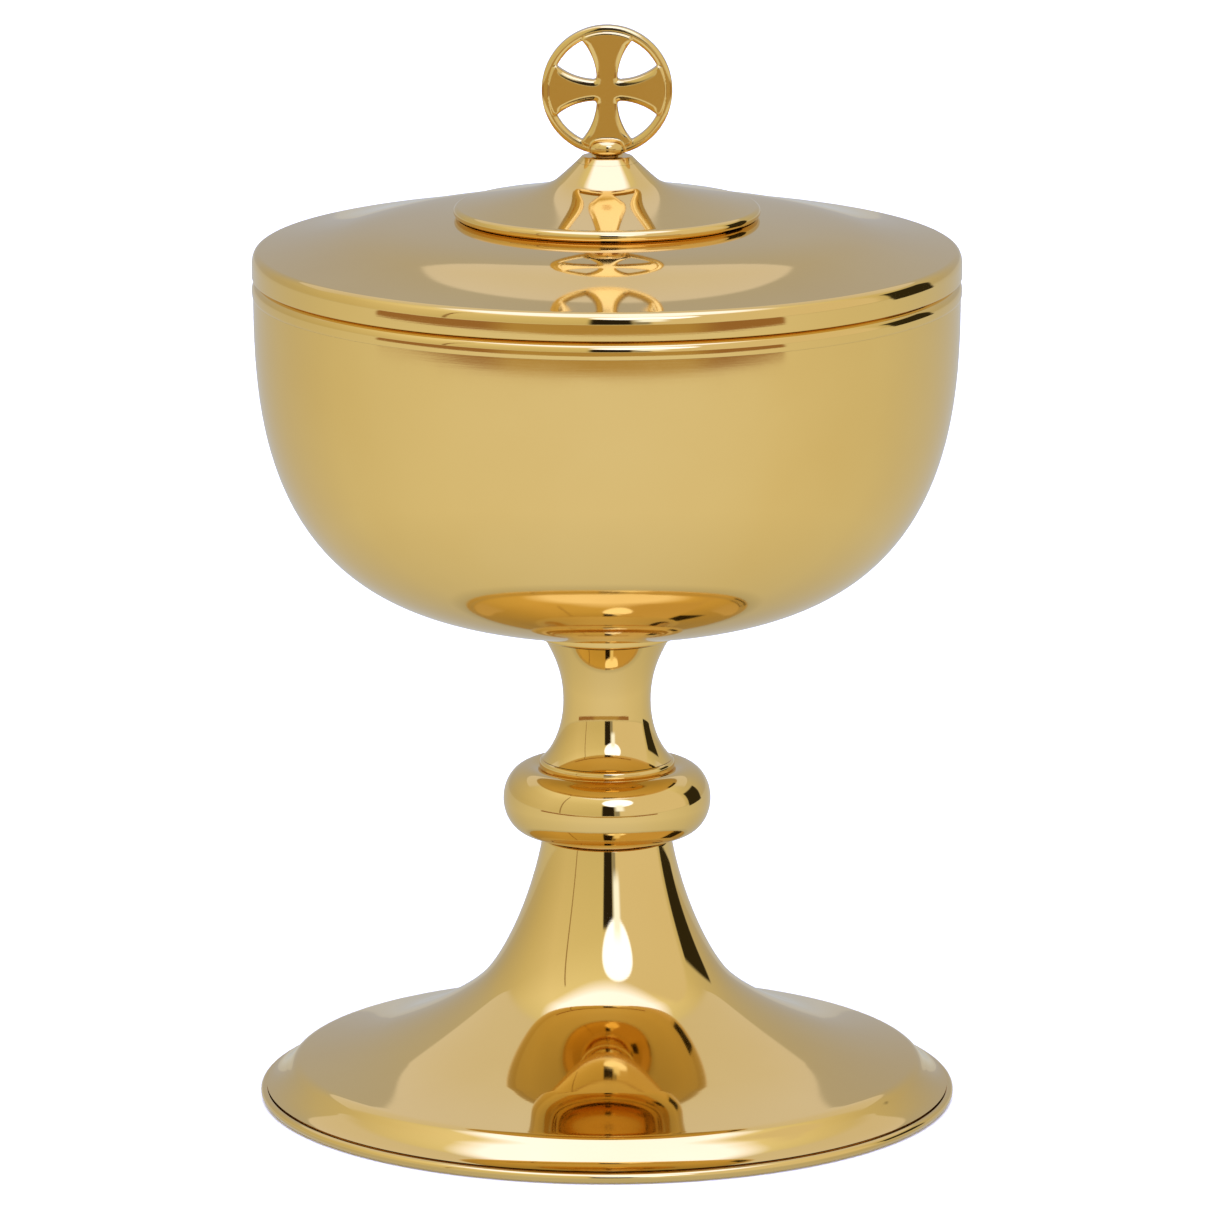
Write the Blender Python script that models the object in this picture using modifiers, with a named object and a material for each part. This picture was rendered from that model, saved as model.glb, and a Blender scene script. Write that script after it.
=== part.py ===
"""Ciborium: a covered cup on a knopped stem and a spreading foot, made of gilt brass.

Metres, +Z up. The origin is on the vertical axis, in the plane that the foot stands on.
The ring of the finial lies in the XZ plane, so -Y is the front.
"""
import bpy
import bmesh
from math import acos, asin, cos, hypot, pi, radians, sin

MM = 0.001
GAP = 0.3                    # clearance between pieces that touch, in millimetres

# All dimensions below are in millimetres; heights are above the table.

# foot
FOOT_RADIUS = 64.4
EDGE_RING_HEIGHT = 1.7
EDGE_RING_WIDTH = 2.4
FOOT_SHEET = 1.2
SHOULDER_RADIUS = 56.8       # where the plate starts to turn down
SHOULDER_Z = 6.9
PLATE_START_RADIUS = 22.8    # where the trumpet has spread into the plate
PLATE_START_Z = 22.2
TRUMPET_TOP_RADIUS = 12.2
TRUMPET_TOP_Z = 47.4
TRUMPET_FLARE = 9.7          # degrees off vertical at the top
TRUMPET_TOP_SHEET = 1.4

# stem
ROD_RADIUS = 3.0
ROD_BOTTOM_Z = 35.0
LOWER_COLLAR_RADIUS = 11.6
LOWER_COLLAR_HEIGHT = 1.3
KNOP_RADIUS = 19.2
KNOP_END_RADIUS = 14.3
KNOP_HEIGHT = 13.6
KNOP_RECESS = 1.15           # depth of the seat of the upper collar in the top of the knop
UPPER_COLLAR_RADIUS = 12.5
UPPER_COLLAR_HEIGHT = 1.6
NECK_FOOT_RADIUS = 12.0
NECK_WAIST_RADIUS = 8.12
NECK_WAIST_Z = 74.6
NECK_TOP_RADIUS = 11.6
NECK_TOP_Z = 86.5
NECK_BORE = 5.6
SEAT_RADIUS = 13.2
SEAT_HEIGHT = 2.6
BOSS_RADIUS = 5.0
BOSS_HEIGHT = 11.0

# cup
CUP_RADIUS = 64.8
CUP_WIDEST_Z = 153.8
CUP_BOTTOM_Z = 89.8
CUP_SIDE_POWER = 3.15        # how square the bowl is seen from the side
CUP_FLOOR_POWER = 2.8        # how flat the floor of the bowl is
CUP_SHEET = 1.2
RIM_RADIUS = 65.0
RIM_BOTTOM_Z = 151.1
RIM_TOP_Z = 153.8
RIM_INNER_RADIUS = 62.6
RIM_ROUNDING = 1.4           # of its upper outer edge

# lid
LID_SKIRT_TOP_Z = 157.5
LID_FILLET = 1.8
LID_SHEET = 1.2
LID_SEAT_RADIUS = 26.6
LID_SEAT_Z = 165.2
LID_SEAT_SLOPE = 4.0         # degrees below level where the plate leaves the boss
LID_BEND_RADIUS = 48.5       # where the plate is steepest
LID_BEND_Z = 162.26
LID_BEND_SLOPE = 15.0
LID_EDGE_SLOPE = 8.6         # at its edge
FLANGE_OUTER_RADIUS = 62.1
FLANGE_SHEET = 1.4
FLANGE_BOTTOM_Z = 149.8
FLANGE_TOP_Z = 156.6
LID_BOSS_RADIUS = 28.1
LID_BOSS_EDGE_Z = 167.3
LID_BOSS_TOP_RADIUS = 5.0
LID_BOSS_TOP_Z = 175.4
LID_BOSS_SHEET = 1.0
STUD_RADIUS = 2.0
COLLAR_RADIUS = 4.2
COLLAR_HEIGHT = 0.6

# finial
CROSS_CENTRE_Z = 188.6
CROSS_RADIUS = 11.95
CROSS_BAND = 1.7
CROSS_THICKNESS = 3.0
CROSS_CHAMFER = 0.5
ARM_WAIST = 1.65             # half width of an arm next to the centre
ARM_SWEEP = 11.6             # radius of the hollow sides of the arms
BEAD_RADIUS = 3.5
BEAD_BOTTOM_Z = 176.6
BEAD_HEIGHT = 3.1

# how finely the round pieces are divided
WIDE_STEPS = 40
STEM_STEPS = 28
SMALL_STEPS = 16

GILT = (0.83, 0.58, 0.22)
BRASS = (0.62, 0.46, 0.20)
STEEL = (0.45, 0.44, 0.42)


# ---------------------------------------------------------------- profiles

def arc(centre, radius, start, end, count):
    """Points on a circle in the profile plane; angles in degrees from +X."""
    points = []
    for i in range(count + 1):
        a = radians(start + (end - start) * i / count)
        points.append((centre[0] + radius * cos(a), centre[1] + radius * sin(a)))
    return points


def bezier(p0, p1, p2, p3, count):
    """Points on a cubic curve from p0 to p3."""
    points = []
    for i in range(count + 1):
        t = i / count
        weights = ((1 - t) ** 3, 3 * t * (1 - t) ** 2, 3 * t * t * (1 - t), t ** 3)
        points.append(tuple(sum(w * p[k] for w, p in zip(weights, (p0, p1, p2, p3))) for k in (0, 1)))
    return points


def inset(path, distance):
    """The path moved to its inner side, which is on its right as it runs down the outside."""
    moved = []
    for i, (r, z) in enumerate(path):
        before, after = path[max(i - 1, 0)], path[min(i + 1, len(path) - 1)]
        dr, dz = after[0] - before[0], after[1] - before[1]
        length = hypot(dr, dz)
        moved.append((r + dz / length * distance, z - dr / length * distance))
    return moved


def ring(inner, outer, bottom, top, edge=0.0):
    """A closed ring section; edge rounds off the two outer corners."""
    if edge == 0.0:
        return [(outer, top), (outer, bottom), (inner, bottom), (inner, top)]
    corners = arc((outer - edge, top - edge), edge, 90, 0, 2)
    corners += arc((outer - edge, bottom + edge), edge, 0, -90, 2)
    return corners + [(inner, bottom), (inner, top)]


# ---------------------------------------------------------------- Blender helpers

def collection(name):
    made = bpy.data.collections.new(name)
    bpy.context.scene.collection.children.link(made)
    return made


def metal(name, colour, roughness):
    material = bpy.data.materials.new(name + "_metal")
    material.use_nodes = True
    shader = material.node_tree.nodes["Principled BSDF"]
    shader.inputs["Base Color"].default_value = (*colour, 1.0)
    shader.inputs["Metallic"].default_value = 1.0
    shader.inputs["Roughness"].default_value = roughness
    return material


def add(name, mesh, where, colour=GILT, roughness=0.12):
    obj = bpy.data.objects.new(name, mesh)
    where.objects.link(obj)
    mesh.materials.append(metal(name, colour, roughness))
    return obj


def turned(name, profile, steps, where, closed=True, **finish):
    """A profile in millimetres, spun about Z. A closed profile makes a ring round the axis."""
    mesh = bpy.data.meshes.new(name)
    count = len(profile)
    edges = [(i, i + 1) for i in range(count - 1)]
    if closed:
        edges.append((count - 1, 0))
    mesh.from_pydata([(r * MM, 0.0, z * MM) for r, z in profile], edges, [])
    obj = add(name, mesh, where, **finish)
    screw = obj.modifiers.new("spin", 'SCREW')
    screw.axis = 'Z'
    screw.steps = steps
    screw.render_steps = steps
    screw.use_smooth_shade = True
    screw.use_merge_vertices = True
    screw.merge_threshold = 0.00001
    return obj


def cutter(obj, where):
    """Turns an object into a hidden cutting tool."""
    for owner in obj.users_collection:
        owner.objects.unlink(obj)
    where.objects.link(obj)
    obj.hide_render = True
    obj.display_type = 'WIRE'
    return obj


def boolean(obj, tool, operation):
    modifier = obj.modifiers.new(operation.lower(), 'BOOLEAN')
    modifier.operation = operation
    modifier.object = tool
    modifier.solver = 'EXACT'


def applied(obj, where):
    """The object with its modifiers or curve settings turned into a plain welded mesh."""
    evaluated = obj.evaluated_get(bpy.context.evaluated_depsgraph_get())
    mesh = bpy.data.meshes.new_from_object(evaluated)
    bm = bmesh.new()
    bm.from_mesh(mesh)
    bmesh.ops.remove_doubles(bm, verts=bm.verts, dist=0.00001)
    bm.to_mesh(mesh)
    bm.free()
    name = obj.name
    matrix = obj.matrix_world.copy()
    bpy.data.objects.remove(obj)
    solid = bpy.data.objects.new(name, mesh)
    where.objects.link(solid)
    solid.matrix_world = matrix
    return solid


def hex_nut(name, flats, bore, bottom, height, parts, tools):
    """A hexagon nut; flats is the distance across its flats."""
    mesh = bpy.data.meshes.new(name)
    bm = bmesh.new()
    radius = flats / 2 / cos(pi / 6) * MM
    bmesh.ops.create_cone(bm, cap_ends=True, segments=6, radius1=radius, radius2=radius, depth=height * MM)
    bm.to_mesh(mesh)
    bm.free()
    obj = add(name, mesh, parts, colour=BRASS, roughness=0.35)
    obj.location = (0, 0, (bottom + height / 2) * MM)
    bevel = obj.modifiers.new("broken_edges", 'BEVEL')
    bevel.width = 0.3 * MM
    bevel.segments = 1
    above, below = bottom + height + 1, bottom - 1
    tool = turned(name + "_bore", [(0, above), (bore, above), (bore, below), (0, below)], SMALL_STEPS, tools,
                  closed=False)
    boolean(obj, cutter(tool, tools), 'DIFFERENCE')
    return obj


# ---------------------------------------------------------------- foot

def foot_outline():
    """The outside of the foot, from the top of the trumpet to its lower edge."""
    lean = radians(TRUMPET_FLARE)
    top = (TRUMPET_TOP_RADIUS, TRUMPET_TOP_Z)
    start = (PLATE_START_RADIUS, PLATE_START_Z)
    shoulder = (SHOULDER_RADIUS, SHOULDER_Z)
    crease = (SHOULDER_RADIUS + 2.8, SHOULDER_Z - 2.3)
    edge = (FOOT_RADIUS - 1.1, EDGE_RING_HEIGHT + GAP)
    trumpet = bezier(top, (top[0] + 9.5 * sin(lean), top[1] - 9.5 * cos(lean)),
                     (start[0] - 4.3, start[1] + 4.9), start, 5)
    plate = bezier(start, (start[0] + 4.3, start[1] - 4.8),
                   (shoulder[0] - 16.7, shoulder[1] + 3.4), shoulder, 6)
    turn = bezier(shoulder, (shoulder[0] + 1.6, shoulder[1] - 0.35),
                  (crease[0] - 1.0, crease[1] + 1.0), crease, 2)
    band = bezier(crease, (crease[0] + 1.1, crease[1] - 1.2), (edge[0] - 1.4, edge[1] + 0.4), edge, 2)
    return trumpet + plate[1:] + turn[1:] + band[1:]


def make_foot(parts):
    outside = foot_outline()
    inside = inset(outside, FOOT_SHEET)
    inside[0] = (TRUMPET_TOP_RADIUS - FOOT_SHEET, TRUMPET_TOP_Z - TRUMPET_TOP_SHEET)
    inside[-1] = (outside[-1][0] - FOOT_SHEET, outside[-1][1])
    hole = ROD_RADIUS + GAP
    profile = [(hole, TRUMPET_TOP_Z)] + outside + inside[::-1] + [(hole, inside[0][1])]
    turned("foot_shell", profile, WIDE_STEPS, parts)


def make_edge_ring(parts):
    """The solid wire under the edge of the foot, flattened where it stands on the table."""
    r = EDGE_RING_HEIGHT / 2
    outer = arc((FOOT_RADIUS - r, r), r, 90, -30, 4)
    flat = [(FOOT_RADIUS - 0.5, 0.0), (FOOT_RADIUS - EDGE_RING_WIDTH, 0.0)]
    profile = outer + flat + [(FOOT_RADIUS - EDGE_RING_WIDTH, EDGE_RING_HEIGHT)]
    turned("foot_edge_ring", profile, WIDE_STEPS, parts)


def make_base_hardware(parts, tools):
    bore = ROD_RADIUS + GAP
    washer_top = TRUMPET_TOP_Z - TRUMPET_TOP_SHEET - GAP
    washer = [(9.4, washer_top - 0.4), (9.4, washer_top - 1.3), (bore, washer_top - 1.3), (bore, washer_top),
              (8.6, washer_top)]
    turned("base_washer", washer, STEM_STEPS, parts, colour=BRASS, roughness=0.3)
    lock_top = washer_top - 1.3 - GAP
    lock = turned("lock_washer", ring(bore, 6.0, lock_top - 1.0, lock_top), SMALL_STEPS, parts,
                  colour=STEEL, roughness=0.3)
    bpy.ops.mesh.primitive_cube_add(size=1.0, location=(5.0 * MM, 0, (lock_top - 0.5) * MM))
    slit = bpy.context.active_object
    slit.name = "lock_washer_slit"
    slit.scale = (6.0 * MM, 0.9 * MM, 3.0 * MM)
    boolean(lock, cutter(slit, tools), 'DIFFERENCE')
    hex_nut("base_nut", 10.0, bore, lock_top - 1.0 - GAP - 5.0, 5.0, parts, tools)


# ---------------------------------------------------------------- stem

def stem_levels():
    """Bottom and top of each piece that is stacked on the tie rod, from the foot upwards."""
    heights = (("lower_collar", LOWER_COLLAR_HEIGHT), ("knop", KNOP_HEIGHT), ("upper_collar", UPPER_COLLAR_HEIGHT))
    levels = {}
    z = TRUMPET_TOP_Z + GAP
    for name, height in heights:
        levels[name] = (z, z + height)
        z += height + GAP - (KNOP_RECESS if name == "knop" else 0.0)
    levels["neck"] = (z, NECK_TOP_Z)
    levels["cup_seat"] = (NECK_TOP_Z + GAP, NECK_TOP_Z + GAP + SEAT_HEIGHT)
    return levels


def make_collars(parts, levels):
    bore = ROD_RADIUS + GAP
    low, high = levels["lower_collar"]
    turned("lower_collar", ring(bore, LOWER_COLLAR_RADIUS, low, high, 0.3), STEM_STEPS, parts)
    low, high = levels["upper_collar"]
    turned("upper_collar", ring(bore, UPPER_COLLAR_RADIUS, low, high, 0.8), STEM_STEPS, parts)


def make_knop(parts, levels):
    """A flattened ball with a half-oval side, bored for the tie rod and sunk for the upper collar."""
    low, high = levels["knop"]
    middle, half = (low + high) / 2, (high - low) / 2
    swell = KNOP_RADIUS - KNOP_END_RADIUS
    side = []
    for i in range(13):
        a = radians(90 - 15 * i)
        side.append((KNOP_END_RADIUS + swell * cos(a), middle + half * sin(a)))
    bore, seat, floor = ROD_RADIUS + GAP, UPPER_COLLAR_RADIUS + GAP, high - KNOP_RECESS
    turned("knop", side + [(bore, low), (bore, floor), (seat, floor), (seat, high)], STEM_STEPS, parts)


def make_neck(parts, levels):
    low, high = levels["neck"]
    waist = (NECK_WAIST_RADIUS, NECK_WAIST_Z)
    top = bezier((NECK_TOP_RADIUS, high), (9.9, high - 3.1), (waist[0], waist[1] + 5.4), waist, 6)
    bottom = bezier(waist, (waist[0], waist[1] - 4.1), (9.0, low + 1.6), (NECK_FOOT_RADIUS, low), 6)
    turned("neck", top + bottom[1:] + [(NECK_BORE, low), (NECK_BORE, high)], STEM_STEPS, parts)


def make_tie_rod(parts, cup_floor):
    """The long screw that clamps foot, knop and neck to the cup."""
    top = cup_floor - 2 * GAP - 1.0
    point = 0.6
    profile = [(0, top), (ROD_RADIUS - point, top), (ROD_RADIUS, top - point),
               (ROD_RADIUS, ROD_BOTTOM_Z + point), (ROD_RADIUS - point, ROD_BOTTOM_Z), (0, ROD_BOTTOM_Z)]
    turned("tie_rod", profile, SMALL_STEPS, parts, closed=False, colour=BRASS, roughness=0.3)


# ---------------------------------------------------------------- cup

def make_cup_seat(parts, levels):
    low, high = levels["cup_seat"]
    turned("cup_seat_collar", ring(BOSS_RADIUS + GAP, SEAT_RADIUS, low, high, 0.7), STEM_STEPS, parts)


def make_cup_boss(parts):
    """The tapped socket under the floor of the cup, blind at its top."""
    top = CUP_BOTTOM_Z - GAP
    bore = ROD_RADIUS + GAP
    profile = [(0, top), (BOSS_RADIUS, top), (BOSS_RADIUS, top - BOSS_HEIGHT), (bore, top - BOSS_HEIGHT),
               (bore, top - 1.0), (0, top - 1.0)]
    turned("cup_boss", profile, SMALL_STEPS, parts, closed=False, colour=BRASS, roughness=0.3)


def bowl_outline(count):
    """The outside of the bowl from its rim to its centre, as a squared oval."""
    depth = CUP_WIDEST_Z - CUP_BOTTOM_Z
    rim_drop = (CUP_WIDEST_Z - RIM_BOTTOM_Z + GAP) / depth
    start = asin(rim_drop ** (CUP_FLOOR_POWER / 2))
    points = []
    for i in range(count + 1):
        a = start + (pi / 2 - start) * i / count
        drop = sin(a) ** (2 / CUP_FLOOR_POWER)
        points.append((CUP_RADIUS * max(cos(a), 0.0) ** (2 / CUP_SIDE_POWER), CUP_WIDEST_Z - depth * drop))
    points[-1] = (0.0, CUP_BOTTOM_Z)
    return points


def make_cup(parts):
    outside = bowl_outline(11)
    inside = inset(outside, CUP_SHEET)
    inside[0] = (CUP_RADIUS - CUP_SHEET, outside[0][1])
    inside[-1] = (0.0, CUP_BOTTOM_Z + CUP_SHEET)
    turned("cup_shell", inside[::-1] + outside, WIDE_STEPS, parts, closed=False)
    rim = arc((RIM_RADIUS - RIM_ROUNDING, RIM_TOP_Z - RIM_ROUNDING), RIM_ROUNDING, 90, 0, 3)
    rim += [(RIM_RADIUS, RIM_BOTTOM_Z + 0.3), (RIM_RADIUS - 0.3, RIM_BOTTOM_Z)]
    rim += [(RIM_INNER_RADIUS, RIM_BOTTOM_Z), (RIM_INNER_RADIUS, RIM_TOP_Z)]
    turned("cup_rim_ring", rim, WIDE_STEPS, parts)


# ---------------------------------------------------------------- lid

def down(point, slope, distance):
    """The point moved outwards along a slope below level, in degrees."""
    return (point[0] + distance * cos(radians(slope)), point[1] - distance * sin(radians(slope)))


def lid_outline():
    """The outside of the lid from the seat of the boss to the bottom of the skirt."""
    centre = (RIM_RADIUS - LID_FILLET, LID_SKIRT_TOP_Z)
    corner = arc(centre, LID_FILLET, 90 - LID_EDGE_SLOPE, 0, 3)
    seat = (LID_SEAT_RADIUS, LID_SEAT_Z)
    bend = (LID_BEND_RADIUS, LID_BEND_Z)
    inner = bezier(seat, down(seat, LID_SEAT_SLOPE, 12), down(bend, LID_BEND_SLOPE, -7), bend, 4)
    outer = bezier(bend, down(bend, LID_BEND_SLOPE, 6), down(corner[0], LID_EDGE_SLOPE, -5), corner[0], 3)
    return inner + outer[1:] + corner[1:] + [(RIM_RADIUS, RIM_TOP_Z + GAP)]


def make_lid(parts):
    outside = lid_outline()
    inside = inset(outside, LID_SHEET)
    inside[0] = (LID_SEAT_RADIUS, LID_SEAT_Z - LID_SHEET)
    inside[-1] = (RIM_RADIUS - LID_SHEET, outside[-1][1])
    hole = STUD_RADIUS + GAP
    profile = [(hole, LID_SEAT_Z)] + outside + inside[::-1] + [(hole, LID_SEAT_Z - LID_SHEET)]
    flange = ring(FLANGE_OUTER_RADIUS - FLANGE_SHEET, FLANGE_OUTER_RADIUS, FLANGE_BOTTOM_Z, FLANGE_TOP_Z)
    flange[1:2] = [(FLANGE_OUTER_RADIUS, FLANGE_BOTTOM_Z + 0.6), (FLANGE_OUTER_RADIUS - 0.6, FLANGE_BOTTOM_Z)]
    return [turned("lid_shell", profile, WIDE_STEPS, parts), turned("lid_flange", flange, WIDE_STEPS, parts)]


def make_lid_boss(parts):
    """The bell-shaped boss: a straight cone that sweeps out into a thin saucer."""
    top = (LID_BOSS_TOP_RADIUS, LID_BOSS_TOP_Z)
    edge = (LID_BOSS_RADIUS - 0.6, LID_BOSS_EDGE_Z)
    bottom = LID_SEAT_Z + GAP
    sweep = bezier(top, (top[0] + 4.6, top[1] - 3.8), (top[0] + 8.2, edge[1] + 1.3), edge, 6)
    lip = arc((edge[0], edge[1] - 0.6), 0.6, 60, -30, 3)
    outside = sweep + lip + [(LID_BOSS_RADIUS - 0.7, bottom)]
    inside = inset(sweep, LID_BOSS_SHEET)
    inside[0] = (top[0] - LID_BOSS_SHEET, top[1] - LID_BOSS_SHEET)
    hole = STUD_RADIUS + GAP
    profile = [(hole, top[1])] + outside + [(LID_BOSS_RADIUS - 1.9, bottom)] + inside[-2::-1]
    profile.append((hole, top[1] - LID_BOSS_SHEET))
    return turned("lid_boss", profile, WIDE_STEPS - 8, parts)


def make_finial_hardware(parts, tools):
    bore = STUD_RADIUS + GAP
    low = LID_BOSS_TOP_Z + GAP
    collar = turned("finial_collar", ring(bore, COLLAR_RADIUS, low, low + COLLAR_HEIGHT, 0.25), SMALL_STEPS, parts)
    washer_top = LID_SEAT_Z - LID_SHEET - GAP
    washer = turned("finial_washer", ring(bore, 8.0, washer_top - 1.2, washer_top, 0.3), SMALL_STEPS + 8, parts,
                    colour=BRASS, roughness=0.3)
    nut_bottom = washer_top - 1.2 - GAP - 3.2
    nut = hex_nut("finial_nut", 7.0, bore, nut_bottom, 3.2, parts, tools)
    low = nut_bottom - 1.0
    top = BEAD_BOTTOM_Z + 1.6
    stud = turned("finial_stud", [(0, top), (STUD_RADIUS, top), (STUD_RADIUS, low + 0.4),
                                  (STUD_RADIUS - 0.4, low), (0, low)],
                  SMALL_STEPS, parts, closed=False, colour=BRASS, roughness=0.3)
    return [collar, washer, nut, stud]


# ---------------------------------------------------------------- finial

def window_outline():
    """One of the four windows between the arms, in the quadrant where both coordinates are positive."""
    inner = CROSS_RADIUS - CROSS_BAND
    sweep_centre = ARM_WAIST + ARM_SWEEP
    distance = hypot(sweep_centre, ARM_WAIST)
    # the side of an arm meets the inside of the ring where circles about two centres cross
    towards_sweep = asin(ARM_WAIST / distance)
    opening = acos((inner ** 2 + distance ** 2 - ARM_SWEEP ** 2) / (2 * inner * distance))
    meet = towards_sweep + opening
    corner = (inner * cos(meet), inner * sin(meet))
    meet_angle = acos((corner[0] - sweep_centre) / ARM_SWEEP)
    side = arc((sweep_centre, ARM_WAIST), ARM_SWEEP, 180, meet_angle * 180 / pi, 5)
    rim = arc((0, 0), inner, meet * 180 / pi, 90 - meet * 180 / pi, 4)
    other_side = [(z, x) for x, z in side[::-1]]
    return side + rim[1:-1] + other_side[:-1]


def add_loop(curve, points):
    spline = curve.splines.new('POLY')
    spline.points.add(len(points) - 1)
    for point, (x, y) in zip(spline.points, points):
        point.co = (x * MM, y * MM, 0.0, 1.0)
    spline.use_cyclic_u = True


def make_cross(parts, tools):
    """A ring that holds a cross with four spreading arms, on a flattened bead: one casting."""
    curve = bpy.data.curves.new("finial_cross", 'CURVE')
    curve.dimensions = '2D'
    curve.fill_mode = 'BOTH'
    curve.extrude = (CROSS_THICKNESS / 2 - CROSS_CHAMFER) * MM
    curve.bevel_depth = CROSS_CHAMFER * MM
    curve.bevel_resolution = 0
    curve.offset = -CROSS_CHAMFER * MM
    add_loop(curve, arc((0, 0), CROSS_RADIUS, 0, 360, 44)[:-1])
    window = window_outline()
    for sx, sz in ((1, 1), (-1, 1), (-1, -1), (1, -1)):
        add_loop(curve, [(sx * x, sz * z) for x, z in window])
    flat = bpy.data.objects.new("finial_cross", curve)
    parts.objects.link(flat)
    flat.rotation_euler = (pi / 2, 0, 0)
    flat.location = (0, 0, CROSS_CENTRE_Z * MM)
    bpy.context.view_layer.update()
    cross = applied(flat, parts)
    cross.name = "finial_cross"
    cross.data.materials.append(metal("finial_cross", GILT, 0.15))
    cross.data.shade_smooth()
    cross.data.set_sharp_from_angle(angle=radians(25))

    half = BEAD_HEIGHT / 2
    middle = BEAD_BOTTOM_Z + half
    oval = [(BEAD_RADIUS * sin(radians(a)), middle + half * cos(radians(a))) for a in range(0, 181, 20)]
    oval[0], oval[-1] = (0, oval[0][1]), (0, oval[-1][1])
    bead = turned("finial_bead_form", oval, SMALL_STEPS, tools, closed=False)
    boolean(cross, cutter(bead, tools), 'UNION')
    bore, depth, below = STUD_RADIUS + GAP, BEAD_BOTTOM_Z + 1.9, BEAD_BOTTOM_Z - 2.0
    tap = [(0, depth), (bore, depth), (bore, below), (0, below)]
    hole = turned("finial_tapping", tap, SMALL_STEPS, tools, closed=False)
    boolean(cross, cutter(hole, tools), 'DIFFERENCE')
    return cross


# ---------------------------------------------------------------- assembly

def main():
    for obj in list(bpy.data.objects):
        bpy.data.objects.remove(obj)
    parts = collection("ciborium")
    tools = collection("ciborium_cutters")
    levels = stem_levels()
    make_foot(parts)
    make_edge_ring(parts)
    make_base_hardware(parts, tools)
    make_collars(parts, levels)
    make_knop(parts, levels)
    make_neck(parts, levels)
    make_tie_rod(parts, CUP_BOTTOM_Z)
    make_cup_seat(parts, levels)
    make_cup_boss(parts)
    make_cup(parts)

    lid_pieces = make_lid(parts)
    lid_pieces.append(make_lid_boss(parts))
    lid_pieces += make_finial_hardware(parts, tools)
    lid_pieces.append(make_cross(parts, tools))
    lid = bpy.data.objects.new("lid", None)      # the lid lifts straight up along this empty's Z axis
    parts.objects.link(lid)
    for piece in lid_pieces:
        piece.parent = lid


main()
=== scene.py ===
"""Ciborium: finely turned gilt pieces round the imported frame, in a small white studio.

Metres, +Z up, the front is -Y. Profiles are written in millimetres.
"""

from math import asin, cos, hypot, pi, radians, sin

import bmesh
import bpy
import numpy as np
from mathutils import Matrix, Vector


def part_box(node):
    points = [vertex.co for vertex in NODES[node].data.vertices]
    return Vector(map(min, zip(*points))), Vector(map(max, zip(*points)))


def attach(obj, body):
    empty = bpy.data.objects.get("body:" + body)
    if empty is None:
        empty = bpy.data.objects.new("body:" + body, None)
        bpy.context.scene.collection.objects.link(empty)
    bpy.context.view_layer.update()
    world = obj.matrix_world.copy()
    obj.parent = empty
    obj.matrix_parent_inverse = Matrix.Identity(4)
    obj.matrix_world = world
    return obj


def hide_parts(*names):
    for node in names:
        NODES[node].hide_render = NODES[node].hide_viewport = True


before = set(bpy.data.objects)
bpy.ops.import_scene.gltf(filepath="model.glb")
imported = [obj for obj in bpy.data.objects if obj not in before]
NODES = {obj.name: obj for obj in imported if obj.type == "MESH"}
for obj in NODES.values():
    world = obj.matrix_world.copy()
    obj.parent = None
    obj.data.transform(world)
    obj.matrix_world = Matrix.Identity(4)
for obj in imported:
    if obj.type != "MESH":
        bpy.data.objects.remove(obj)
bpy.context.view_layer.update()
MM = 0.001

FINE = 320          # divisions round the axis of the wide pieces
MEDIUM = 224        # of the stem
HOOP = 192          # of the finial's ring
SMALL = 96          # of the finial's bead, nuts and washers
ROD = 48            # of the screws

# millimetres
SHEET = 1.2         # thickness of the spun foot, bowl and lid
BOSS_SHEET = 1.0
GAP = 0.02          # between pieces that touch
CLEARANCE = 0.3     # round the screws


# ---------------------------------------------------------------- sizes from the frame

def extent(node):
    """Outer radius, bottom and top of a CAD node, in millimetres."""
    low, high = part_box(node)
    return high.x / MM, low.z / MM, high.z / MM


# ---------------------------------------------------------------- profiles

def arc(centre, radius, start, end, count):
    """Points on a circle in the profile plane; angles in degrees from +X."""
    angles = np.radians(np.linspace(start, end, count + 1))
    return [(centre[0] + radius * cos(a), centre[1] + radius * sin(a)) for a in angles]


def bezier(p0, p1, p2, p3, count):
    """Points on a cubic curve from p0 to p3."""
    points = []
    for t in np.linspace(0, 1, count + 1):
        weights = ((1 - t) ** 3, 3 * t * (1 - t) ** 2, 3 * t * t * (1 - t), t ** 3)
        pairs = list(zip(weights, (p0, p1, p2, p3)))
        points.append(tuple(sum(w * p[k] for w, p in pairs) for k in (0, 1)))
    return points


def down(point, slope, distance):
    """The point moved outwards along a slope below level, in degrees."""
    angle = radians(slope)
    return (point[0] + distance * cos(angle), point[1] - distance * sin(angle))


def chain(*parts):
    """Several runs of points as one, without repeated points."""
    closest = 1e-4
    points = []
    for part in parts:
        for r, z in part:
            if not points or hypot(r - points[-1][0], z - points[-1][1]) > closest:
                points.append((float(r), float(z)))
    return points


def inset(path, distance):
    """The path moved to its inner side, which is on its right as it runs down the outside."""
    moved = []
    for i, (r, z) in enumerate(path):
        before, after = path[max(i - 1, 0)], path[min(i + 1, len(path) - 1)]
        dr, dz = after[0] - before[0], after[1] - before[1]
        length = hypot(dr, dz)
        moved.append((r + dz / length * distance, z - dr / length * distance))
    return moved


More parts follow.
